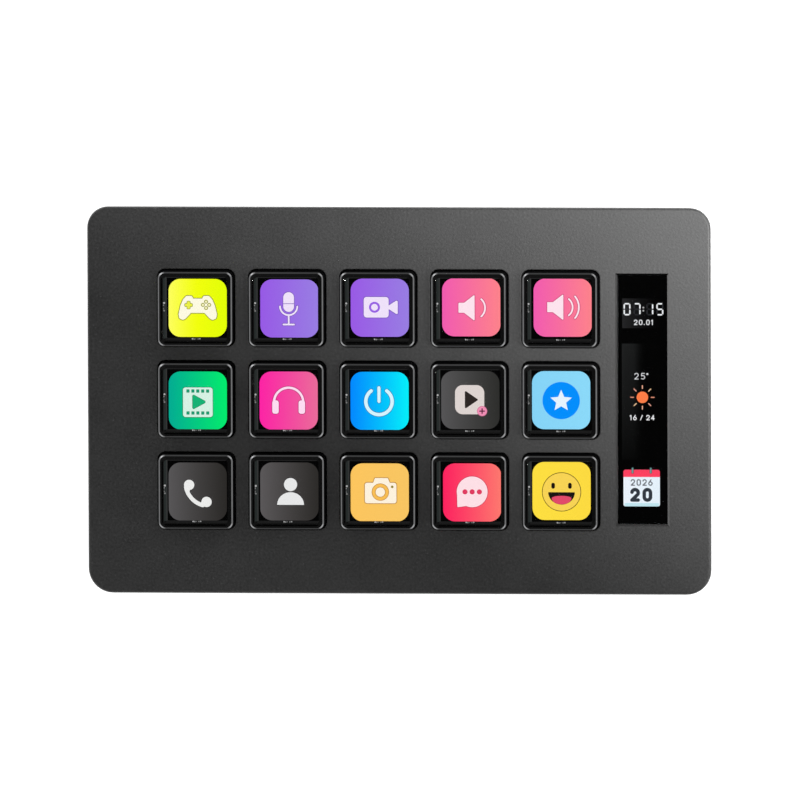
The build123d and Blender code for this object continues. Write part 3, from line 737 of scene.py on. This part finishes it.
def film_strip(p):
    """A rounded square with two rows of holes and a triangle."""
    ground(p, (0, 172, 146), (0, 237, 109))
    edge, tint = linear(10, 128, 90), linear(216, 242, 228)
    p.glyph([box(0, -0.35, 6.2, 6.2, 0.55)], 2, tint, edge, 0.13)
    holes = [box(1.03 * i, y, 0.66, 0.7, 0.1) for i in (-2, -1, 0, 1, 2) for y in (-2.6, 2.0)]
    p.shapes(holes, 4, linear(30, 150, 110))
    p.glyph([hull([(-0.85, -1.45), (1.3, -0.28), (-0.85, 0.9)], 0.22)], 4, linear(20, 178, 116), edge, 0.1)


def headphones(p):
    """A bent band over two upright cups."""
    ground(p, (254, 34, 165), (236, 108, 154))
    edge, tint = linear(176, 34, 104), linear(255, 220, 242)
    cups = [box(x, -1.35, 1.35, 2.8, 0.5) for x in (-2.75, 2.75)]
    p.glyph([arc(0, -0.35, 3.05, 0.5, -8, 188), *cups], 2, tint, edge, 0.13)


def power(p):
    """An open ring with a bar in its gap."""
    ground(p, (0, 136, 255), (2, 240, 250))
    edge, tint = linear(18, 120, 180), linear(214, 246, 255)
    ring = arc(-0.12, -0.12, 2.75, 0.72, 126, 414)
    p.glyph([ring, bar(-0.12, 2.75, -0.12, -0.1, 0.66)], 2, tint, edge, 0.13)


def play(p):
    """A triangle on a rounded square, with a plus on a small disc at its corner."""
    ground(p, (86, 85, 86), (45, 45, 43))
    beige, dark = linear(222, 212, 208), linear(44, 38, 36)
    p.shapes([box(-0.15, 0.08, 6.1, 6.1, 1.6)], 3, beige)
    p.shapes([hull([(-0.95, -1.5), (1.35, 0.08), (-0.95, 1.66)], 0.2)], 4, dark)
    p.glyph([disc(2.45, -2.3, 0.95)], 5, linear(242, 142, 180), linear(206, 118, 150), 0.12)
    p.shapes([bar(1.97, -2.3, 2.93, -2.3, 0.26), bar(2.45, -2.78, 2.45, -1.82, 0.26)], 7, linear(96, 44, 66))


def favourite(p):
    """A five-pointed star on a disc."""
    ground(p, (134, 212, 247), (140, 218, 249))
    p.shapes([disc(0, -0.08, 3.9)], 2, linear(0, 142, 252))
    p.shapes([star(0, -0.18, 2.35, 5, 0.46)], 3, linear(232, 244, 255))


def handset(p):
    """A bent grip with a round end at each tip."""
    ground(p, (88, 86, 87), (42, 40, 38))
    edge, tint = linear(44, 44, 44), linear(236, 236, 234)
    ends = [disc(-1.8, 1.4, 1.08), disc(1.83, -2.15, 1.08), bar(-1.95, 1.1, -2.1, 0.3, 0.9),
            bar(1.6, -2.5, 0.9, -2.6, 0.9)]
    p.glyph([arc(2.38, 1.9, 4.94, 0.85, 192, 254), *ends], 2, tint, edge, 0.1)


def person(p):
    """A round head over a dome of shoulders."""
    ground(p, (91, 88, 89), (44, 42, 40))
    edge, tint = linear(44, 44, 44), linear(232, 232, 232)
    p.glyph([disc(0.25, 1.45, 1.38), dome(0.25, -2.8, 2.8, 2.65)], 2, tint, edge, 0.1)


def camera(p):
    """A rounded box with a hump, a double lens ring and a small lamp."""
    ground(p, (254, 198, 94), (249, 198, 98))
    edge, tint = linear(188, 132, 50), linear(255, 243, 222)
    hump = hull([(-1.19, 1.88), (1.91, 1.88), (1.56, 2.8), (-0.84, 2.8)], 0.22)
    p.glyph([box(0.19, -0.12, 6.6, 4.3, 0.5), hump], 2, tint, edge, 0.15)
    p.glyph([disc(0.13, 0.08, 1.7)], 4, linear(250, 190, 84), edge, 0.12)
    p.glyph([disc(0.13, 0.08, 0.98)], 6, tint, edge, 0.12)
    p.glyph([disc(2.61, 1.18, 0.2)], 4, linear(130, 140, 60), edge, 0.08)


def chat(p):
    """A round speech bubble with a corner for its tail and three dots."""
    ground(p, (254, 33, 95), (255, 121, 111))
    edge, tint = linear(206, 54, 88), linear(255, 224, 230)
    tail = hull([(-3.0, -0.72), (-2.95, -2.92), (-1.4, -2.72)], 0.15)
    p.glyph([disc(0, 0.13, 3.22), tail], 2, tint, edge, 0.13)
    p.glyph([disc(x, 0.13, 0.48) for x in (-1.5, 0, 1.5)], 4, linear(226, 58, 96), edge, 0.06)


def smile(p):
    """A disc with two upright oval eyes and a hanging dome for the open mouth."""
    ground(p, (255, 224, 64), (254, 219, 64))
    dark = linear(24, 18, 16)
    p.shapes([disc(0, -0.18, 4.1)], 2, linear(80, 64, 24))
    p.shapes([disc(0, -0.18, 3.96)], 3, linear(249, 212, 84))
    p.shapes([bar(x, 0.85, x, 1.35, 0.75) for x in (-1.75, 1.75)], 4, dark)
    p.shapes([dome(0, -0.25, 2.78, -2.6)], 4, dark)
    p.shapes([dome(0, -1.5, 2.05, -1.3), dome(0, -1.5, 2.05, 0.5)], 5, linear(226, 74, 106))


pictures = {
    "r1c1": gamepad, "r1c2": microphone, "r1c3": camcorder, "r1c4": speaker_low, "r1c5": speaker_high,
    "r2c1": film_strip, "r2c2": headphones, "r2c3": power, "r2c4": play, "r2c5": favourite,
    "r3c1": handset, "r3c2": person, "r3c3": camera, "r3c4": chat, "r3c5": smile,
}


# BLOCK_SHIFT and BLOCK_LIFT place the painted light strips and painted glints in each cap's block
BLOCK_SHIFT = (0.04 * MM, 0.06 * MM)  # of the foot's strips from the key's middle
BLOCK_LIFT = 0.92 * MM  # height of the foot's strips in the block, over its underside


def painted_block_glow(key, x, y):
    """Painted light round the foot of a cap's clear block, in glowing tints: four strips of dark grey, each
    side a different grey for how light falls there, lines along three of them, also painted light, and the
    broken painted glints of the two latch edges. It lies in the block, high enough to stay over the mat's
    ring when the key is down and clear of the guide's chimney, and moves with the cap.
    """
    p = Picture(x + BLOCK_SHIFT[0], y + BLOCK_SHIFT[1], block_z + BLOCK_LIFT)
    reach, long, wide = 7.13, 15.2, 1.0
    # painted shade and light: each side's strip is a different glowing grey for how light falls on that side
    for at, size, level in (((0, reach), (long, wide), 17), ((0, -reach), (long, wide), 17),
                            ((reach, 0), (wide, long), 12), ((-reach, 0), (wide, long), 22)):
        p.shapes([box(*at, *size, 0.3)], 1, grey(level))
    # paler glowing lines: painted light in the block
    p.shapes([box(-6.5, 0, 0.75, 12.9, 0.1)], 2, linear(38, 43, 42))
    p.shapes([box(-6.28, 0, 0.2, 12.7, 0.05)], 3, grey(52))
    p.shapes([box(0, 6.42, 12.9, 0.34, 0.1)], 2, grey(42))
    p.shapes([box(0, -6.55, 12.9, 0.5, 0.1)], 2, grey(26))
    # painted glints: bright glowing spots for light caught by the latch edges
    painted_glints = [(-6.68, 0.98, 0.2, 175), (-6.82, 0.5, 0.14, 132), (-6.74, 0.1, 0.13, 66),
              (-6.82, -0.26, 0.15, 104), (-6.68, -0.64, 0.17, 124), (-0.8, -6.5, 0.15, 170),
              (-0.46, -6.54, 0.15, 130), (-0.1, -6.52, 0.1, 110), (0.4, -6.52, 0.13, 122),
              (0.76, -6.48, 0.15, 145)]
    for u, v, radius, level in painted_glints:
        p.shapes([disc(u, v, radius)], 4, grey(level))
    p.finish(f"painted_block_glow_{key}", f"key_{key}", "clear_cap")


# How far each picture lies from its even place, in mm across and up: the rows are not quite in step.
OUT_OF_STEP = {
    "r1c1": (0.02, 0.08), "r1c2": (0.17, 0.02), "r1c3": (0.04, 0.23), "r1c4": (0.13, 0.38),
    "r1c5": (0.2, 0.36), "r2c1": (-0.03, -0.2), "r2c2": (-0.06, -0.15), "r2c3": (-0.07, -0.15),
    "r2c4": (-0.12, 0.09), "r2c5": (-0.18, 0.12), "r3c1": (-0.13, -0.16), "r3c2": (0.02, -0.07),
    "r3c3": (-0.1, -0.2), "r3c4": (0.2, -0.14), "r3c5": (-0.15, 0.23),
}

for key, paint in pictures.items():
    low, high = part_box(f"keycap_{key}")
    x, y = (low.x + high.x) / 2, (low.y + high.y) / 2
    across, up = OUT_OF_STEP[key]
    picture = Picture(x + (TILE_SHIFT[0] + across) * MM, y + (TILE_SHIFT[1] + up) * MM)
    paint(picture)
    picture.finish(f"picture_{paint.__name__}_{key}")
    painted_block_glow(key, x, y)

# ---------------------------------------------------------------- pictures on the strip
low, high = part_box("strip_lens")
strip_x, strip_y = (low.x + high.x) / 2, (low.y + high.y) / 2
STRIP_SHIFT = (-0.21, -0.4)  # from the lens's middle to that of its pictures, in mm
SEGMENTS = {"0": "abcdef", "1": "bc", "5": "afgcd", "7": "abc"}


def seven_segments(p, figure, x, y, w, h):
    """One clock figure of seven round-ended strokes, those that are off shown as thinner, faint ghosts."""
    a, b, gap, stroke, ghost_stroke = w / 2, h / 2, 0.24, 0.3, 0.25
    strokes = {
        "a": (-a + gap, b, a - gap, b), "g": (-a + gap, 0, a - gap, 0), "d": (-a + gap, -b, a - gap, -b),
        "f": (-a, b - gap, -a, gap), "b": (a, b - gap, a, gap),
        "e": (-a, -gap, -a, gap - b), "c": (a, -gap, a, gap - b),
    }
    for name, (x0, y0, x1, y1) in strokes.items():
        width, tint = (stroke, FIGURE) if name in SEGMENTS[figure] else (ghost_stroke, GHOST)
        p.shapes([bar(x + x0, y + y0, x + x1, y + y1, width)], 2, tint)


def clock(p):
    """Four clock figures about a colon, over a row of small figures, on a panel that darkens to the right."""
    p.tile(8.8, 6.2, 0.1, linear(37, 37, 38), BLACK)
    for figure, x in zip("0715", (-3.39, -1.29, 1.36, 3.45)):
        seven_segments(p, figure, x, 0.86, 1.17, 2.28)
    p.shapes([disc(0.01, 0.55, 0.19), disc(0.01, 1.2, 0.19)], 2, grey(170))
    p.figures("20.01", 0.04, -1.88, 1.15, 0.2, 2, linear(225, 226, 228))


def weather(p):
    """Figures over a rayed sun and a row of small figures, beside a faint panel that fades to the right."""
    p.tile(5.15, 24.3, 0.05, linear(30, 31, 31), BLACK, linear(25, 26, 26), at=(-1.75, -0.4), foot=0.12)
    p.figures("25°", -0.25, 4.94, 1.36, 0.16, 2, linear(222, 223, 226), pitch=1.0)
    p.shapes([disc(-0.05, 0.52, 1.2)], 2, linear(255, 126, 70))
    near, far = 1.85, 2.45  # a ray's ends, from the sun's middle
    ray_tints = [(232, 150, 120), (236, 196, 150), (240, 176, 146), (226, 160, 140)]
    for i in range(8):
        c, s = math.cos(i * math.pi / 4), math.sin(i * math.pi / 4)
        ray = bar(near * c - 0.05, 0.52 + near * s, far * c - 0.05, 0.52 + far * s, 0.21)
        p.shapes([ray], 2, linear(*ray_tints[i % 4]))
    p.figures("16 / 24", -0.1, -3.72, 1.12, 0.18, 2, linear(238, 238, 240))


def calendar(p):
    """A page with a red head, two rings and two rows of figures, and a pale band at its foot."""
    p.tile(7.6, 7.66, 0.45, linear(238, 245, 252), linear(232, 244, 252))
    p.shapes([box(0, 3.07, 7.6, 1.52, 0.45), box(0, 2.67, 7.6, 0.72, 0.05)], 2, linear(255, 66, 96))
    p.shapes([box(0, -3.48, 7.2, 0.7, 0.3)], 2, linear(196, 232, 240))
    rings = [bar(x, 3.24, x, 4.1, 0.3) for x in (-1.9, 1.9)]
    p.glyph(rings, 3, linear(110, 156, 154), linear(52, 78, 80), 0.1)
    p.figures("2026", 0, 1.17, 1.36, 0.22, 2, linear(84, 88, 96))
    p.figures("20", -0.1, -1.42, 2.92, 0.74, 2, linear(50, 56, 64), pitch=0.88)


for paint, x, y in ((clock, 0.18, 18.07), (weather, 0.0, 0.0), (calendar, -0.24, -18.45)):
    picture = Picture(strip_x + (x + STRIP_SHIFT[0]) * MM, strip_y + (y + STRIP_SHIFT[1]) * MM)
    paint(picture)
    picture.finish(f"picture_{paint.__name__}")

# ---------------------------------------------------------------- floor, light and camera
FLOOR_HALF = 8.0  # half the floor's side
FLOOR_DROP = 0.02 * MM  # of the floor under the feet
FLOOR_GLOW = 0.68  # its own light, to the camera and in reflections


def floor():
    """A wide pale floor, a square a hair under the feet. It keeps the shadow.

    From below there is no floor: its back lets light through, and so does its front to light that came by
    there.
    """
    corners = np.array([(-1, -1, 0), (1, -1, 0), (1, 1, 0), (-1, 1, 0)]) * FLOOR_HALF - (0, 0, FLOOR_DROP)
    mesh = bpy.data.meshes.new("floor")
    mesh.from_pydata(corners, [], [(0, 1, 2, 3)])
    made = add_object("floor", mesh)
    finish, tree, shader, place = start("floor_card")
    grain = use(tree, groups["grain"], Vector=place, Color=(0.8, 0.8, 0.8, 1), Scale=400.0, Contrast=0.02)
    tree.links.new(grain["Color"], shader.inputs["Base Color"])
    shader.inputs["Roughness"].default_value = 0.7
    shader.inputs["Specular IOR Level"].default_value = 0.1
    shader.inputs["Emission Color"].default_value = (1, 1, 1, 1)
    path = tree.nodes.new("ShaderNodeLightPath").outputs
    seen = math_node(tree, "MAXIMUM", path["Is Camera Ray"], math_node(
        tree, "MAXIMUM", path["Is Glossy Ray"], path["Is Transmission Ray"]))
    tree.links.new(math_node(tree, "MULTIPLY", seen, FLOOR_GLOW), shader.inputs["Emission Strength"])
    below = tree.nodes.new("ShaderNodeNewGeometry").outputs["Backfacing"]
    came_by = math_node(tree, "GREATER_THAN", path["Transparent Depth"], 0.5)
    absent = math_node(tree, "MAXIMUM", below, came_by)
    nothing = tree.nodes.new("ShaderNodeBsdfTransparent").outputs[0]
    mix = node(tree, "ShaderNodeMixShader", {0: absent, 1: shader.outputs[0], 2: nothing})
    tree.links.new(mix.outputs[0], tree.nodes["Material Output"].inputs["Surface"])
    mesh.materials.append(finish)


AMBIENT = 0.94  # level of the world's even light on the object
HORIZON, ROOF = 0.8, 0.015  # levels in reflections at the horizon and over it
HORIZON_RISE = 0.1  # height of a direction by which the horizon has gone over into the roof
BANK_AXIS = (-0.067, -0.09, 0.994)
BANK_HEIGHT = 0.3235  # share of the axis in the directions along the bank's middle
BANK_EDGE = (0.1, 0.2)  # its level falls between these distances from that share
BANK_LEVELS = (0.12, 0.9, 0.42)  # front and rear, corners, sides
BANK_CORNER, BANK_SIDE = (0.12, 0.55), (0.85, 0.97)  # where front turns into corner, and corner into side
CARD_AIM = (-0.67, 0.67, 0.32)
CARD_LEVEL, CARD_FOCUS = 0.8, 60.0
OVER_ONE = 1.0001  # keeps what a root is taken of above nothing


def world():
    """White to the camera and even on the object. Reflections see a pale horizon, a low bank and a dark roof.

    The bank is a band round the axis of BANK_AXIS, about the angle to which the caps' chamfers throw the
    view. Its level goes by the share of x in the level direction: dim at the front and rear, bright at the
    corners, and between the two at the sides. One card adds to it at the rear left.
    """
    made = bpy.data.worlds.new("studio")
    bpy.context.scene.world = made
    made.use_nodes = True
    tree = made.node_tree
    back = tree.nodes["Background"]
    way = tree.nodes.new("ShaderNodeTexCoord").outputs["Generated"]
    split = node(tree, "ShaderNodeSeparateXYZ", {0: way}).outputs
    horizon = spread(tree, split["Z"], -HORIZON_RISE, HORIZON_RISE, HORIZON, ROOF)

    def toward(aim):
        """The share of aim in a direction."""
        return node(tree, "ShaderNodeVectorMath", {0: way, 1: aim}, operation="DOT_PRODUCT").outputs["Value"]

    off_band = math_node(tree, "ABSOLUTE", math_node(tree, "SUBTRACT", toward(BANK_AXIS), BANK_HEIGHT))
    band = spread(tree, off_band, *BANK_EDGE, 1.0, 0.0)
    level_length = math_node(tree, "SQRT", math_node(tree, "SUBTRACT", OVER_ONE, math_node(
        tree, "MULTIPLY", split["Z"], split["Z"])))
    aside = math_node(tree, "ABSOLUTE", math_node(tree, "DIVIDE", split["X"], level_length))
    front, corner, side = BANK_LEVELS
    bank = math_node(tree, "MINIMUM", spread(tree, aside, *BANK_CORNER, front, corner),
                     spread(tree, aside, *BANK_SIDE, corner, side))
    bank = math_node(tree, "MULTIPLY", bank, band)
    card = math_node(tree, "POWER", math_node(tree, "MAXIMUM", toward(CARD_AIM), 0.0), CARD_FOCUS)
    card = math_node(tree, "MULTIPLY", card, CARD_LEVEL)
    total = math_node(tree, "ADD", math_node(tree, "ADD", horizon, bank), card)
    path = tree.nodes.new("ShaderNodeLightPath").outputs
    soft = node(tree, "ShaderNodeMix", {"Factor": path["Is Diffuse Ray"], 2: total, 3: AMBIENT}).outputs[0]
    level = node(tree, "ShaderNodeMix", {"Factor": path["Is Camera Ray"], 2: soft, 3: 1.0}).outputs[0]
    tree.links.new(level, back.inputs["Strength"])
    back.inputs["Color"].default_value = (1, 1, 1, 1)


SOFTBOX_SIZE = (0.1935, 0.3696)
SOFTBOX_WATTS = 57.9 * SOFTBOX_SIZE[0] * SOFTBOX_SIZE[1] * math.pi
SOFTBOX_PLACE = (0.2348, -0.0047, 0.3524 + panel_z)
SOFTBOX_TURN = (-2.135, 0.373, 1.242)  # azimuth and elevation of its back, and its roll, in radians


def window_light():
    """One tall softbox, off to the right and turned past the object, so its light falls off to the left."""
    lamp_data = bpy.data.lights.new("softbox", "AREA")
    lamp_data.shape = "RECTANGLE"
    lamp_data.size, lamp_data.size_y = SOFTBOX_SIZE
    lamp_data.energy = SOFTBOX_WATTS
    box_lamp = add_object("softbox", lamp_data)
    azimuth, elevation, roll = SOFTBOX_TURN
    level = math.cos(elevation)
    z = Vector((math.cos(azimuth) * level, math.sin(azimuth) * level, math.sin(elevation)))
    side = Vector((0, 0, 1)).cross(z).normalized()
    up = z.cross(side)
    x = side * math.cos(roll) + up * math.sin(roll)
    y = -side * math.sin(roll) + up * math.cos(roll)
    turn = Matrix((x, y, z)).transposed().to_4x4()
    box_lamp.matrix_world = Matrix.Translation(SOFTBOX_PLACE) @ turn


LENS, SENSOR = 1000.0, 36.0  # in mm
FRAME_WIDTH = 0.16645  # what the picture takes in at the panel
LEAN_X, LEAN_Y = 4.0, 5.4  # of the camera to the right and to the rear, in degrees
CAMERA_ROLL = -0.0033
AIM = (0.00019, 0.00018)  # the point of the panel at the picture's middle


def camera_view():
    """Almost straight down, from far away, leaning a little to the right and to the rear."""
    data = bpy.data.cameras.new("camera")
    data.lens, data.sensor_width = LENS, SENSOR
    eye = add_object("camera", data)
    bpy.context.scene.camera = eye
    distance = FRAME_WIDTH / SENSOR * LENS
    z = Vector((math.tan(math.radians(LEAN_X)), math.tan(math.radians(LEAN_Y)), 1)).normalized()
    x = Vector((0, 1, 0)).cross(z).normalized()
    x = (x + z.cross(x) * CAMERA_ROLL).normalized()
    turn = Matrix((x, z.cross(x), z)).transposed().to_4x4()
    aim = Vector((*AIM, panel_z))
    eye.matrix_world = Matrix.Translation(aim + z * distance) @ turn


floor()
world()
window_light()
camera_view()
bpy.context.scene.view_settings.view_transform = "Standard"
